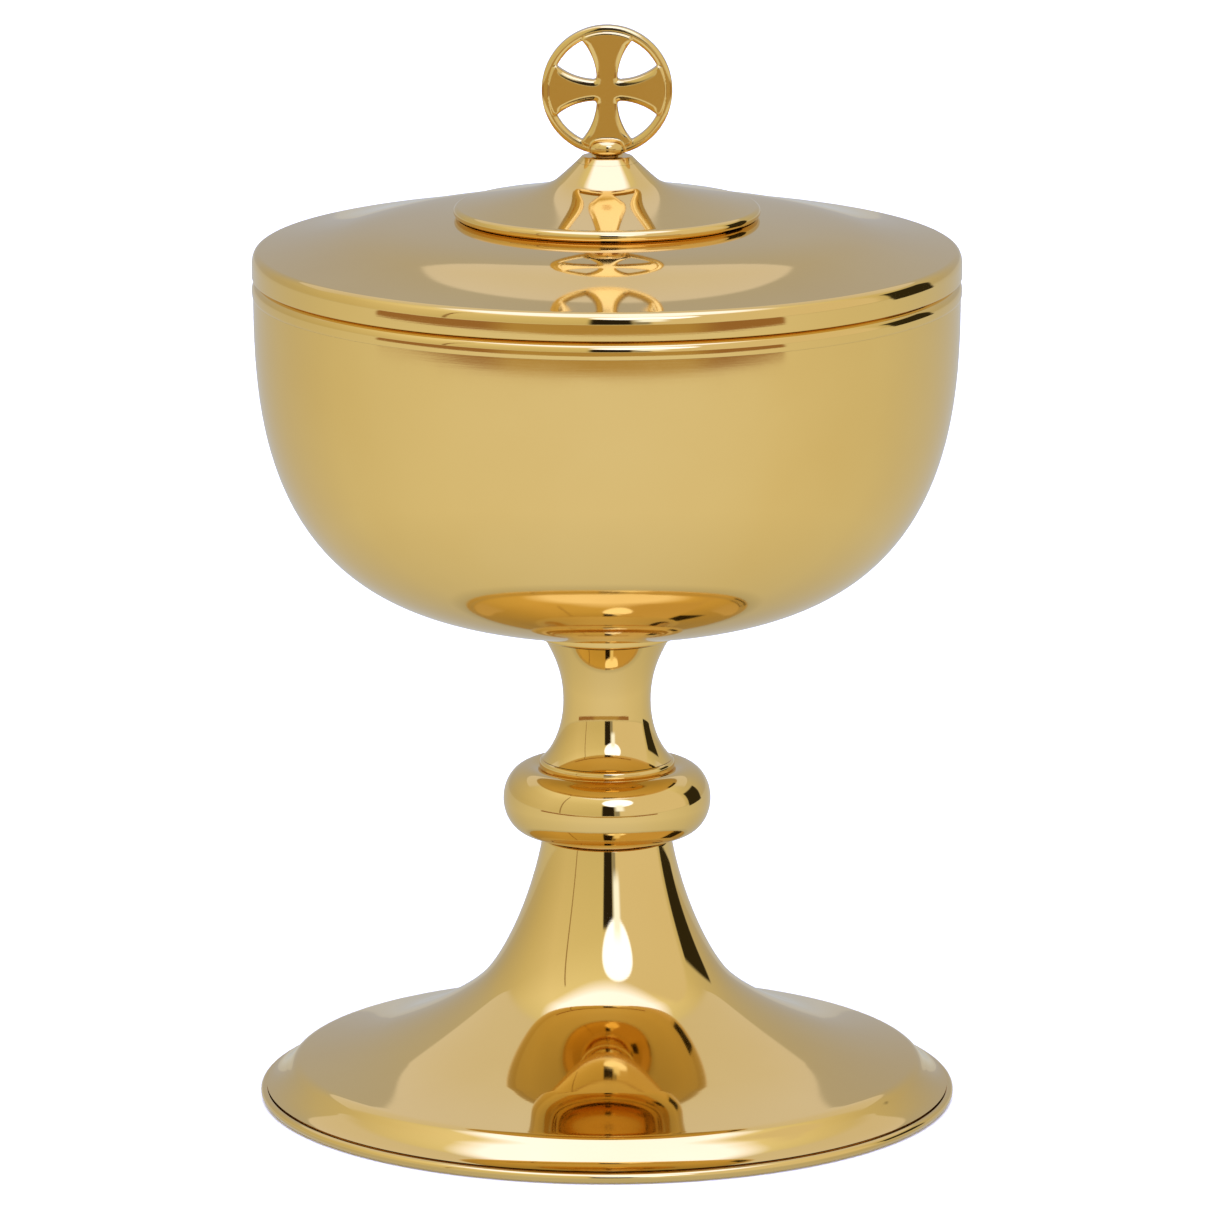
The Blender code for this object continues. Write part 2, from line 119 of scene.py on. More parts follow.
def softened(corners, radii, count=6):
    """A closed section with each corner rounded by its own radius."""
    share = 0.45            # of a side that one rounding may take
    smallest = 0.01         # a smaller rounding is left out
    points = []
    total = len(corners)
    for i, (corner, radius) in enumerate(zip(corners, radii)):
        here = Vector(corner)
        back = Vector(corners[i - 1]) - here
        on = Vector(corners[(i + 1) % total]) - here
        reach = min(radius, share * back.length, share * on.length)
        if reach < smallest:
            points.append(corner)
            continue
        start, end = here + back.normalized() * reach, here + on.normalized() * reach
        for t in np.linspace(0, 1, count + 1):
            p = start * (1 - t) ** 2 + here * 2 * t * (1 - t) + end * t * t
            points.append((p.x, p.y))
    return chain(points)


def ring_section(inner, outer, bottom, top, edge):
    """A flat ring whose outer edges are rounded by edge."""
    inner_edge = 0.15
    corners = [(outer, top), (outer, bottom), (inner, bottom), (inner, top)]
    return softened(corners, [edge, edge, inner_edge, inner_edge], 10)


# ---------------------------------------------------------------- meshes

def turned(name, section, steps, split=None):
    """A section in millimetres spun about Z. It is closed, or it starts and ends on the axis.

    split is the index from which the section is the inner side, which takes the second material.
    """
    on_axis = 1e-6
    points = np.array(section, float)
    count = len(points)
    open_ended = points[0][0] < on_axis and points[-1][0] < on_axis
    nxt = np.roll(points, -1, axis=0)
    area = float(np.sum(points[:, 0] * nxt[:, 1] - nxt[:, 0] * points[:, 1]))
    angles = np.linspace(0, 2 * pi, steps, endpoint=False)
    vertices, index = [], []
    for r, z in points:
        if open_ended and r < on_axis:
            index.append([len(vertices)] * steps)
            vertices.append((0.0, 0.0, z * MM))
            continue
        index.append(list(range(len(vertices), len(vertices) + steps)))
        for a in angles:
            vertices.append((r * cos(a) * MM, r * sin(a) * MM, z * MM))
    faces, slots = [], []
    for i in range(count - 1 if open_ended else count):
        j = (i + 1) % count
        for k in range(steps):
            m = (k + 1) % steps
            face = [index[i][k], index[j][k], index[j][m], index[i][m]]
            face = [v for n, v in enumerate(face) if v != face[n - 1]]
            faces.append(face if area < 0 else face[::-1])
            slots.append(1 if split is not None and i >= split else 0)
    mesh = bpy.data.meshes.new(name)
    mesh.from_pydata(vertices, [], faces)
    mesh.polygons.foreach_set("material_index", slots)
    mesh.validate()
    mesh.shade_smooth()
    mesh.set_sharp_from_angle(angle=radians(38))
    return place(name, mesh)


def place(name, mesh):
    """An object with this mesh, in the scene."""
    obj = bpy.data.objects.new(name, mesh)
    bpy.context.scene.collection.objects.link(obj)
    return obj


def settle(obj, body, slot, materials, *replaced):
    """Gives a piece its materials and body, and hides the CAD nodes that it stands for; slot is not
    used.
    """
    if obj.data.materials:                # a clear() also puts every face back to the first one
        obj.data.materials.clear()
    for material in materials:
        obj.data.materials.append(material)
    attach(obj, body)
    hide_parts(*replaced)


# ---------------------------------------------------------------- materials

class Nodes:
    """A short way to write the nodes of a material or of the world."""

    def __init__(self, owner, shader="Principled BSDF", coordinates="Object"):
        owner.use_nodes = True
        self.owner = owner
        self.tree = owner.node_tree
        self.shader = self.tree.nodes[shader]
        self.place = self.new("ShaderNodeTexCoord").outputs[coordinates]

    def new(self, kind, **settings):
        node = self.tree.nodes.new(kind)
        for key, value in settings.items():
            setattr(node, key, value)
        return node

    def link(self, source, target):
        self.tree.links.new(source, target)

    def math(self, operation, a, b=None):
        node = self.new("ShaderNodeMath", operation=operation)
        for socket, value in zip(node.inputs, (a, b)):
            if value is None:
                continue
            if isinstance(value, (int, float)):
                socket.default_value = value
            else:
                self.link(value, socket)
        return node.outputs[0]

    def parts(self, vector):
        """The x, y and z of a vector."""
        split = self.new("ShaderNodeSeparateXYZ")
        self.link(vector, split.inputs[0])
        return split.outputs

    def length(self, x, y):
        return self.math("SQRT", self.math("ADD", self.math("MULTIPLY", x, x),
                                           self.math("MULTIPLY", y, y)))

    def degrees_from(self, x, y):
        """The direction of x, y in degrees: 0 along y, growing towards x."""
        return self.math("MULTIPLY", self.math("ARCTAN2", x, y), 180 / pi)

    def noise(self, scale, detail=2.0, vector=None, roughness=0.5):
        node = self.new("ShaderNodeTexNoise")
        node.inputs["Scale"].default_value = scale
        node.inputs["Detail"].default_value = detail
        node.inputs["Roughness"].default_value = roughness
        self.link(vector or self.place, node.inputs["Vector"])
        return node.outputs["Fac"]

    def spread(self, value, low, high, to_low, to_high):
        node = self.new("ShaderNodeMapRange")
        for socket, number in zip(list(node.inputs)[1:5], (low, high, to_low, to_high)):
            socket.default_value = number
        self.link(value, node.inputs["Value"])
        return node.outputs["Result"]

    def blend(self, factor, first, second):
        node = self.new("ShaderNodeMix", data_type="RGBA")
        self.link(factor, node.inputs["Factor"])
        for socket, value in ((node.inputs["A"], first), (node.inputs["B"], second)):
            if isinstance(value, tuple):
                socket.default_value = (*value, 1.0)
            else:
                self.link(value, socket)
        return node.outputs["Result"]

    def ramp(self, value, stops):
        """Colours at values from -1 to 1."""
        node = self.new("ShaderNodeValToRGB")
        self.link(self.math("ADD", self.math("MULTIPLY", value, 0.5), 0.5), node.inputs[0])
        elements = node.color_ramp.elements
        elements[0].position, elements[0].color = (stops[0][0] + 1) / 2, (*stops[0][1], 1)
        elements[1].position, elements[1].color = (stops[-1][0] + 1) / 2, (*stops[-1][1], 1)
        for at, colour in stops[1:-1]:
            elements.new((at + 1) / 2).color = (*colour, 1)
        return node.outputs["Color"]

    def around(self, across, round_the_axis):
        """Coordinates that run with the lathe: fine across its lines and long along them."""
        height_share = 1.618                # radius and height together number the lines
        x, y, z = self.parts(self.place)
        angle = self.math("ARCTAN2", y, x)
        line = self.math("ADD", self.length(x, y), self.math("MULTIPLY", z, height_share))
        join = self.new("ShaderNodeCombineXYZ")
        self.link(self.math("MULTIPLY", line, across), join.inputs[0])
        for socket, operation in zip(join.inputs[1:], ("COSINE", "SINE")):
            self.link(self.math("MULTIPLY", self.math(operation, angle), round_the_axis), socket)
        return join.outputs[0]

    def bump(self, layers):
        """Bump from (height, depth in metres) layers, one on top of the other."""
        normal = None
        for height, depth in layers:
            node = self.new("ShaderNodeBump")
            node.inputs["Strength"].default_value = 1.0
            node.inputs["Distance"].default_value = depth
            self.link(height, node.inputs["Height"])
            if normal is not None:
                self.link(normal, node.inputs["Normal"])
            normal = node.outputs["Normal"]
        self.link(normal, self.shader.inputs["Normal"])


def metal(name, grain, between, first, second):
    """A bare metal whose colour drifts between two tones with a noise."""
    n = Nodes(bpy.data.materials.new(name))
    n.tone = n.noise(*grain)
    n.link(n.blend(n.spread(n.tone, *between, 0.0, 1.0), first, second),
           n.shader.inputs["Base Color"])
    n.shader.inputs["Metallic"].default_value = 1.0
    return n


def gilt(name, gloss=0.03, haze=0.035, waves=0.00008, wave_scale=30.0):
    """Polished gold plate: faint buffing lines, slight waves in the metal and clouds of haze."""
    gold, deep, lines = (0.81, 0.565, 0.20), (0.78, 0.53, 0.175), 0.0000010
    n = metal(name, (26.0, 3.0), (0.3, 0.7), gold, deep)
    lathe = n.noise(1.0, 3.0, n.around(5200.0, 3.0), 0.6)
    cloud = n.noise(48.0, 4.0, roughness=0.6)
    rough = n.math("ADD", n.spread(cloud, 0.35, 0.75, gloss, gloss + haze),
                   n.spread(lathe, 0.3, 0.7, -0.006, 0.012))
    n.link(rough, n.shader.inputs["Roughness"])
    swell = n.noise(wave_scale, 1.0)
    n.bump([(swell, waves), (lathe, lines)])
    return n.owner


def satin_gilt(name):
    """The inner side of spun sheet: gilt, less polished, with plain lathe lines."""
    n = metal(name, (40.0, 4.0), (0.3, 0.7), (0.75, 0.51, 0.18), (0.66, 0.43, 0.145))
    lathe = n.noise(1.0, 4.0, n.around(1800.0, 1.2), 0.7)
    n.link(n.spread(lathe, 0.25, 0.75, 0.20, 0.34), n.shader.inputs["Roughness"])
    n.bump([(n.noise(60.0, 2.0), 0.00006), (lathe, 0.000012)])
    return n.owner


def plain_brass(name):
    """Machined brass, a little dull, with tool marks."""
    n = metal(name, (320.0, 4.0), (0.35, 0.7), (0.66, 0.48, 0.20), (0.47, 0.32, 0.13))
    tool = n.noise(1.0, 3.0, n.around(4000.0, 2.0), 0.6)
    n.link(n.spread(n.tone, 0.3, 0.75, 0.22, 0.42), n.shader.inputs["Roughness"])
    n.bump([(tool, 0.000010), (n.tone, 0.000012)])
    return n.owner


def spring_steel(name):
    """Bright zinc on steel, with fine grey spangle."""
    n = metal(name, (600.0, 4.0), (0.35, 0.7), (0.56, 0.56, 0.55), (0.38, 0.38, 0.39))
    n.link(n.spread(n.tone, 0.3, 0.7, 0.24, 0.40), n.shader.inputs["Roughness"])
    n.bump([(n.tone, 0.00001)])
    return n.owner


# ---------------------------------------------------------------- foot

def foot_outline():
    """The outside of the foot, from the top of the trumpet to its lower edge."""
    edge_radius, low, top_z = extent("foot_shell")
    lean, rise, pull = radians(9.7), 1.3, 10.8      # it reaches up into the collar's place
    top = (12.2 - rise * sin(lean), top_z + rise)
    start, bend, shoulder, crease = (22.8, 22.2), (42.5, 10.7), (56.8, 6.9), (59.6, 4.6)
    edge = (edge_radius, low)

    def run(a, leave, arrive, b, count):
        """A curve from a to b; leave and arrive are its handles, from a and from b."""
        return bezier(a, (a[0] + leave[0], a[1] + leave[1]),
                      (b[0] + arrive[0], b[1] + arrive[1]), b, count)

    return chain(run(top, (pull * sin(lean), -pull * cos(lean)), (-4.3, 4.9), start, 64),
                 run(start, (3.7, -4.1), (-7.5, 2.9), bend, 44),
                 run(bend, (4.5, -1.65), (-6.0, 1.3), shoulder, 24),
                 run(shoulder, (1.6, -0.35), (-1.0, 1.0), crease, 16),
                 run(crease, (1.1, -1.2), (-1.4, 0.4), edge, 18))


def make_foot(polished, satin):
    radius, low, top = extent("foot_shell")
    top_sheet, lip_round = 1.4, 0.35
    roof = top - top_sheet
    outside = foot_outline()
    inside = [p for p in inset(outside[::2], SHEET) if p[1] < roof - 0.1]
    inside.insert(0, (inside[0][0], roof))
    inside[-1] = (radius - SHEET, low)
    hole = extent("tie_rod")[0] + CLEARANCE
    lip = softened([(hole, outside[0][1]), outside[0], outside[1]], [0.0, lip_round, 0.0], 6)
    outer = chain(lip, outside[2:])
    section = chain(outer, inside[::-1], [(hole, roof)])
    foot = turned("foot", section, FINE, len(outer) - 1)
    settle(foot, "base", "gilt_foot", [polished, satin], "foot_shell")

    radius, low, top = extent("foot_edge_ring")
    wire, flat, inner = (top - low) / 2, radius - 0.5, radius - 2.4
    section = chain(arc((radius - wire, low + wire), wire, 90, -30, 20),
                    [(flat, low), (inner, low), (inner, top)])
    settle(turned("foot_bead", section, FINE), "base", "gilt_foot", [polished], "foot_edge_ring")


# ---------------------------------------------------------------- stem

def make_stem(polished):
    bore = extent("tie_rod")[0] + CLEARANCE
    gap = 0.03                            # of the lower collar, above and below

    radius, low, high = extent("knop")
    middle, half, bulge = (low + high) / 2, 6.25, 4.9
    centre = radius - bulge
    dip = high - 1.0                      # the knop is hollowed for the upper collar
    side = [(centre + bulge * cos(a), middle + half * sin(a))
            for a in np.radians(np.linspace(111, -112, 110))]
    hollow = [(bore, side[-1][1]), (bore, dip), (side[0][0] - 2.2, dip)]
    knop = turned("stem_knop", chain(side, hollow), MEDIUM)
    settle(knop, "base", "gilt_stem", [polished], "knop")

    radius = extent("lower_collar")[0]
    low, high = foot_outline()[0][1] + gap, side[-1][1] - gap
    disc = turned("stem_lower_collar", ring_section(bore, radius, low, high, 0.4), MEDIUM)
    settle(disc, "base", "gilt_stem", [polished], "lower_collar")

    radius = extent("upper_collar")[0]
    low, high = dip - 0.15, dip + 1.75
    corners = [(radius, high), (radius, low), (bore, low), (bore, high)]
    lip = turned("stem_upper_collar", softened(corners, [0.95, 0.7, 0.2, 0.2], 12), MEDIUM)
    settle(lip, "base", "gilt_stem", [polished], "upper_collar")

    radius, low, top = extent("neck")
    low, waist, inner = high + GAP, (8.12, 74.6), 5.6
    flare = bezier((11.6, top), (9.9, top - 3.1), (waist[0], waist[1] + 5.4), waist, 40)
    bottom = bezier(waist, (waist[0], waist[1] - 4.4), (9.6, low + 2.3), (radius, low), 44)
    neck = turned("stem_neck", chain(flare, bottom, [(inner, low), (inner, top)]), MEDIUM)
    settle(neck, "base", "gilt_stem", [polished], "neck")

    radius, low, high = extent("cup_seat_collar")
    inner = extent("cup_boss")[0] + CLEARANCE
    seat = turned("stem_cup_seat", ring_section(inner, radius, low, high, 0.9), MEDIUM)
    settle(seat, "base", "gilt_stem", [polished], "cup_seat_collar")


# ---------------------------------------------------------------- cup

def bowl_outline(rim_z, bottom_z):
    """The outside of the bowl from its rim to its centre, as a squared oval."""
    widest, widest_z, count = 64.8, 153.8, 150
    across, upright = 3.15, 2.8             # 2 would be a plain ellipse
    depth = widest_z - bottom_z
    start = asin(((widest_z - rim_z) / depth) ** (upright / 2))
    points = []
    for a in np.linspace(start, pi / 2, count + 1):
        points.append((widest * max(cos(a), 0.0) ** (2 / across),
                       widest_z - depth * sin(a) ** (2 / upright)))
    points[-1] = (0.0, bottom_z)
    return points


def make_cup(polished, lining, rim_metal):
    _, low, high = extent("cup_shell")
    outside = bowl_outline(high, low)
    inside = inset(outside, SHEET)
    inside[0] = (outside[0][0] - SHEET, high)
    inside[-1] = (0.0, low + SHEET)
    cup = turned("cup_bowl", chain(outside[::-1], inside), FINE, len(outside))
    settle(cup, "base", "gilt_cup", [polished, lining], "cup_shell")

    radius = extent("cup_rim_ring")[0]
    low, high = high + GAP, extent("lid_shell")[1] - 0.06
    outer_round, hole, foot_round, mouth_round = 1.9, 62.6, 0.2, 0.5
    section = chain(arc((radius - outer_round, high - outer_round), outer_round, 90, 0, 24),
                    bezier((radius, low + 0.7), (radius, low + 0.4), (radius - 0.06, low + 0.12),
                           (radius - 0.18, low), 6),
                    arc((hole + foot_round, low + foot_round), foot_round, -90, -180, 4),
                    arc((hole + mouth_round, high - mouth_round), mouth_round, 180, 90, 8))
    rim = turned("cup_rim", section, FINE)
    settle(rim, "base", "gilt_cup", [rim_metal], "cup_rim_ring")


# ---------------------------------------------------------------- lid

LID_SEAT = 26.6       # radius inside which the plate is flat, under the boss


def lid_outline():
    """The outside of the lid from the seat of the boss to the bottom of the skirt.

    The plate is nearly level at its seat, steepest at the bend and flatter again at its edge.
    """
    radius, low, high = extent("lid_shell")
    slope, steepest = 8.6, 15.0
    small, wide, change, foot_round = 1.5, 3.6, 22.0, 0.45
    wide_centre = (radius - wide, 156.95)
    reach, turn = wide - small, radians(change)
    small_centre = (wide_centre[0] + reach * cos(turn), wide_centre[1] + reach * sin(turn))
    corner = chain(arc(small_centre, small, 90 - slope, change, 24),
                   arc(wide_centre, wide, change, 0, 14))
    seat, bend = (LID_SEAT, high), (48.5, 162.26)
    inner = bezier(seat, down(seat, 4.0, 12), down(bend, steepest, -7), bend, 50)
    outer = bezier(bend, down(bend, steepest, 6), down(corner[0], slope, -5), corner[0], 40)
    foot = arc((radius - foot_round, low + foot_round), foot_round, 0, -60, 8)
    return chain(inner, outer, corner, foot)


def make_lid(polished, lining):
    radius, low, high = extent("lid_shell")
    outside = lid_outline()
    inside = inset(outside, SHEET)
    inside[0] = (LID_SEAT, high - SHEET)
    inside = [p for p in inside if p[1] > low + 0.4 and p[0] < radius - 1.0]
    hole = extent("finial_stud")[0] + CLEARANCE
    section = chain([(hole, high)], outside, [(radius - SHEET, low)], inside[::-1],
                    [(hole, high - SHEET)])
    lid = turned("lid_plate", section, FINE, 1 + len(outside))
    settle(lid, "lid", "gilt_lid", [polished, lining], "lid_shell")

    radius, low, high = extent("lid_flange")
    wall, lead = 1.4, 0.6
    corners = [(radius, high), (radius, low + lead), (radius - lead, low), (radius - wall, low),
               (radius - wall, high)]
    section = softened(corners, [0.1, 0.4, 0.4, 0.3, 0.1], 6)
    flange = turned("lid_flange_ring", section, FINE)
    settle(flange, "lid", "gilt_lid", [lining], "lid_flange")


def make_boss(polished, satin):
    """The bell-shaped boss: a straight cone that sweeps out into a thin saucer."""
    radius, _, high = extent("lid_boss")
    low = extent("lid_shell")[2] + GAP
    lip_round, edge_z = 1.0, 167.25
    top, bend, edge = (5.6, high), (9.3, 172.0), (radius - lip_round, edge_z)
    lean = bezier(top, down(top, 44, 1.4), down(bend, 40, -1.4), bend, 14)
    saucer = bezier(bend, down(bend, 40, 2.3), down(edge, 10.8, -12.0), edge, 80)
    sweep = chain(lean, saucer)
    lip = arc((edge[0], edge[1] - lip_round), lip_round, 80, -60, 28)
    outside = chain(sweep, lip, [(radius - 0.7, low)])
    inside = inset(sweep, BOSS_SHEET)
    inside[0] = (top[0] - BOSS_SHEET, top[1] - BOSS_SHEET)
    hole = extent("finial_stud")[0] + CLEARANCE
    section = chain([(hole, high)], outside, [(radius - 1.9, low)], inside[-2::-1],
                    [(hole, high - BOSS_SHEET)])
    boss = turned("lid_boss_bell", section, FINE, 1 + len(outside))
    settle(boss, "lid", "gilt_lid", [polished, satin], "lid_boss")


# ---------------------------------------------------------------- finial

def baked(obj):
    """Replaces the object's mesh by what its modifiers make of it."""
    made = obj.evaluated_get(bpy.context.evaluated_depsgraph_get())
    mesh = bpy.data.meshes.new_from_object(made)
    obj.modifiers.clear()
    obj.data = mesh


def joined(target, tool, operation):
    """Adds, cuts away or keeps what the target shares with the tool."""
    modifier = target.modifiers.new(operation.lower(), "BOOLEAN")
    modifier.operation = operation
    modifier.object = tool
    modifier.solver = "EXACT"
    baked(target)


def cross_outline(waist, sweep, reach, limit):
    """A cross with four spreading arms; each side of an arm is an arc that leaves straight.

    waist is half an arm's width at the centre, sweep the arc's radius, reach the arm's length
    and limit the distance from the centre that no point passes.
    """
    corner = 0.45                           # the cut across each inner corner
    end_angle = asin(min(1.0, (reach - waist) / sweep))
    side = [(waist + sweep * (1 - cos(a)), waist + sweep * sin(a))
            for a in np.linspace(0.0, end_angle, 26)]
    side = [p for p in side if hypot(*p) <= limit]
    chord = [(x, reach if hypot(x, reach) < limit else (limit ** 2 - x * x) ** 0.5)
             for x in np.linspace(side[-1][0], 0.0, 14)[1:]]
    right = [p for p in side + chord if p[1] > waist + corner * 0.9]
    left = [(-x, z) for x, z in right[-2::-1]]
    notch = [(-waist - corner * 0.3, waist + corner * 0.3)]
    points = []
    for c, s in ((1, 0), (0, 1), (-1, 0), (0, -1)):
        points += [(x * c - z * s, x * s + z * c) for x, z in right + left + notch]
    return points


def plate_from(name, outline, thickness, bevel):
    """A flat casting in the XZ plane with rounded edges, from a closed outline."""
    curve = bpy.data.curves.new(name, "CURVE")
    curve.dimensions = "2D"
    curve.fill_mode = "BOTH"
    curve.extrude = (thickness / 2 - bevel) * MM
    curve.bevel_depth = bevel * MM
    curve.bevel_resolution = 2
    curve.offset = -bevel * MM
    spline = curve.splines.new("POLY")
    spline.points.add(len(outline) - 1)
    for point, (x, z) in zip(spline.points, outline):
        point.co = (x * MM, z * MM, 0.0, 1.0)
    spline.use_cyclic_u = True
    obj = bpy.data.objects.new(name, curve)
    bpy.context.scene.collection.objects.link(obj)
    bpy.context.view_layer.update()
    made = obj.evaluated_get(bpy.context.evaluated_depsgraph_get())
    mesh = bpy.data.meshes.new_from_object(made)
    bpy.data.objects.remove(obj)
    bm = bmesh.new()
    bm.from_mesh(mesh)
    bmesh.ops.remove_doubles(bm, verts=bm.verts, dist=0.000004)
    for v in bm.verts:
        v.co = Vector((v.co.x, -v.co.z, v.co.y))
    bmesh.ops.recalc_face_normals(bm, faces=bm.faces)
    bm.to_mesh(mesh)
    bm.free()
    return place(name, mesh)


def distance_to(outline, x, z):
    """Distance of many points from a closed outline."""
    near = np.full(len(x), 1e9)
    for (ax, az), (bx, bz) in zip(outline, outline[1:] + outline[:1]):
        dx, dz = bx - ax, bz - az
        length = max(dx * dx + dz * dz, 1e-12)
        along = np.clip(((x - ax) * dx + (z - az) * dz) / length, 0, 1)
        near = np.minimum(near, np.hypot(x - ax - along * dx, z - az - along * dz))
    return near


def crowned(obj, outline, centre, inner, bead_top):
    """Rounds the faces of the arms down towards their sides, as hand polishing does."""
    depth, width, face = 0.30, 1.25, 1.5        # drop at the side, its width, the face's height
    at_ring, at_bead, above_bead = 1.2, 1.0, 0.3
    co = np.array([v.co for v in obj.data.vertices], float) / MM
    x, z = co[:, 0], co[:, 2] - centre
    radius = np.hypot(x, z)
    near = distance_to(outline, x, z)
    drop = depth * np.clip(1 - near / width, 0, 1) ** 2
    fade = np.clip((inner - radius) / at_ring, 0, 1)
    fade = fade * np.clip((co[:, 2] - bead_top - above_bead) / at_bead, 0, 1)
    for v, share in zip(obj.data.vertices, drop * fade / face):
        v.co.y *= 1 - share


def finial_hoop(outer, inner):
    """The ring: a band with crowned faces, turned about the Y axis."""
    face, crown, flat = 1.28, 0.24, 0.86
    edge_y, edge_round = 0.84, 0.26
    middle, half = (outer + inner) / 2, (outer - inner) / 2
    front = [(middle + half * u, face - crown * u * u) for u in np.linspace(-flat, flat, 17)]
    rounding = [(middle + half * (flat + (1 - flat) * sin(a)), edge_y + edge_round * cos(a))
                for a in np.radians((35, 60, 90))]
    upper = [(2 * middle - r, y) for r, y in rounding[::-1]] + front + rounding
    hoop = turned("finial_hoop", upper + [(r, -y) for r, y in upper[::-1]], HOOP)
    hoop.data.transform(Matrix.Rotation(radians(90), 4, "X"))
    return hoop


def finial_bead(radius, side, low, high):
    """The flattened ball under the ring."""
    middle, half = (low + high) / 2, (high - low) / 2
    belly = [(radius - side + side * cos(a), middle + half * sin(a))
             for a in np.radians(np.linspace(90, -90, 49))]
    return turned("finial_bead", chain([(0, high)], belly, [(0, low)]), SMALL)


def make_finial(polished):
    bore = extent("finial_stud")[0] + CLEARANCE
    low = extent("lid_boss")[2] + GAP
    height = 1.05
    corners = [(4.55, low + height), (5.58, low), (bore, low), (bore, low + 0.5),
               (3.1, low + height)]
    disc = turned("finial_neck_ring", softened(corners, [0.3, 0.0, 0.0, 0.0, 0.1], 8), SMALL)
    settle(disc, "lid", "gilt_finial", [polished], "finial_collar")

    outer, low, high = extent("finial_cross")
    centre, inner = high - outer, outer - 1.8
    hoop = finial_hoop(outer, inner)
    outline = cross_outline(waist=1.92, sweep=11.3, reach=12.0, limit=10.75)
    cross = plate_from("finial_cross_casting", outline, 3.0, 0.3)
    joined(cross, hoop, "UNION")
    for v in cross.data.vertices:
        v.co.z += centre * MM
    bead_low, bead_top = low - 0.35, low + 2.85
    bead = finial_bead(3.5, 1.75, bead_low, bead_top)
    joined(cross, bead, "UNION")
    tap_low, tap_high = low - 2, low + 1.9
    tap_section = [(0, tap_high), (bore, tap_high), (bore, tap_low), (0, tap_low)]
    tap = turned("finial_tap", tap_section, SMALL)
    joined(cross, tap, "DIFFERENCE")
    for tool in (hoop, bead, tap):
        bpy.data.objects.remove(tool)

    # cast and polished: every edge is softened
    remesh = cross.modifiers.new("even", "REMESH")
    remesh.mode = "VOXEL"
    remesh.voxel_size = 0.12 * MM
    relax = cross.modifiers.new("polish", "SMOOTH")
    relax.factor = 0.5
    relax.iterations = 3
    baked(cross)
    crowned(cross, outline, centre, inner, bead_top)
    fit(cross, outer, centre)
    cross.data.shade_smooth()
    settle(cross, "lid", "gilt_finial", [polished], "finial_cross")


def fit(obj, outer, centre):
    """Keeps the softened casting within the CAD casting's radius."""
    reach = max(v.co.z for v in obj.data.vertices) / MM - centre
    scale = outer / reach if reach > outer else 1.0
    for v in obj.data.vertices:
        v.co.x *= scale
        v.co.z = centre * MM + (v.co.z - centre * MM) * scale


# ---------------------------------------------------------------- screws, nuts and washers

def threaded(name, radius, low, high, pitch, thread_low, thread_high):
    """A rod with a helical thread between two heights, closed at both ends."""
    depth, half_groove, chamfer, rows = pitch * 0.55, 0.42, 0.5, 8
    zs = np.arange(low, high + 1e-6, pitch / rows)
    zs[-1] = high
    vertices = [(0.0, 0.0, low * MM)]
    for z in zs:
        run_in = min(1.0, max(0.0, (z - thread_low) / pitch),
                     max(0.0, (thread_high - z) / pitch))
        end = max(0.0, chamfer - (z - low)) + max(0.0, chamfer - (high - z))
        for k, a in enumerate(np.linspace(0, 2 * pi, ROD, endpoint=False)):
            phase = (z / pitch - k / ROD) % 1.0
            groove = depth * max(0.0, 1.0 - abs(phase - 0.5) / half_groove)
            r = radius - groove * run_in - end
            vertices.append((r * cos(a) * MM, r * sin(a) * MM, z * MM))
    vertices.append((0.0, 0.0, high * MM))
    faces = []
    last = 1 + (len(zs) - 1) * ROD
    for k in range(ROD):
        m = (k + 1) % ROD
        faces.append([0, 1 + m, 1 + k])
        for i in range(len(zs) - 1):
            a, b = 1 + i * ROD, 1 + (i + 1) * ROD
            faces.append([a + k, a + m, b + m, b + k])
        faces.append([last + k, last + m, len(vertices) - 1])
    mesh = bpy.data.meshes.new(name)
    mesh.from_pydata(vertices, [], faces)
    mesh.shade_smooth()
    mesh.set_sharp_from_angle(angle=radians(35))
    return place(name, mesh)


def nut(name, node, bore):
    """A hexagon nut with turned chamfers on both ends."""
    low_corner, high_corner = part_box(node)
    low, high = low_corner.z / MM, high_corner.z / MM
    corner = max(high_corner.x, high_corner.y) / MM
    face = 0.97 * (min(high_corner.x, high_corner.y) / MM)    # radius of the flat on each end
    mesh = bpy.data.meshes.new(name)
    bm = bmesh.new()
    bmesh.ops.create_cone(bm, cap_ends=True, segments=6, radius1=corner * MM,
                          radius2=corner * MM, depth=(high - low) * MM)
    bm.to_mesh(mesh)
    bm.free()
    for v in mesh.vertices:
        v.co.z += (low + high) / 2 * MM
    obj = place(name, mesh)

    drop, past = (corner - face) * 0.58, corner + 0.05
    section = [(0.0, high), (face, high), (past, high - drop), (past, low + drop), (face, low),
               (0.0, low)]
    chamfer = turned(name + "_chamfer", section, SMALL)
    joined(obj, chamfer, "INTERSECT")
    mouth, beyond = 0.45, 1
    wide = bore + mouth + beyond
    section = [(0.0, high + beyond), (wide, high + beyond), (bore, high - mouth),
               (bore, low + mouth), (wide, low - beyond), (0.0, low - beyond)]
    drill = turned(name + "_drill", section, SMALL)
    joined(obj, drill, "DIFFERENCE")
    for tool in (chamfer, drill):
        bpy.data.objects.remove(tool)
    obj.data.shade_smooth()
    obj.data.set_sharp_from_angle(angle=radians(30))
    return obj


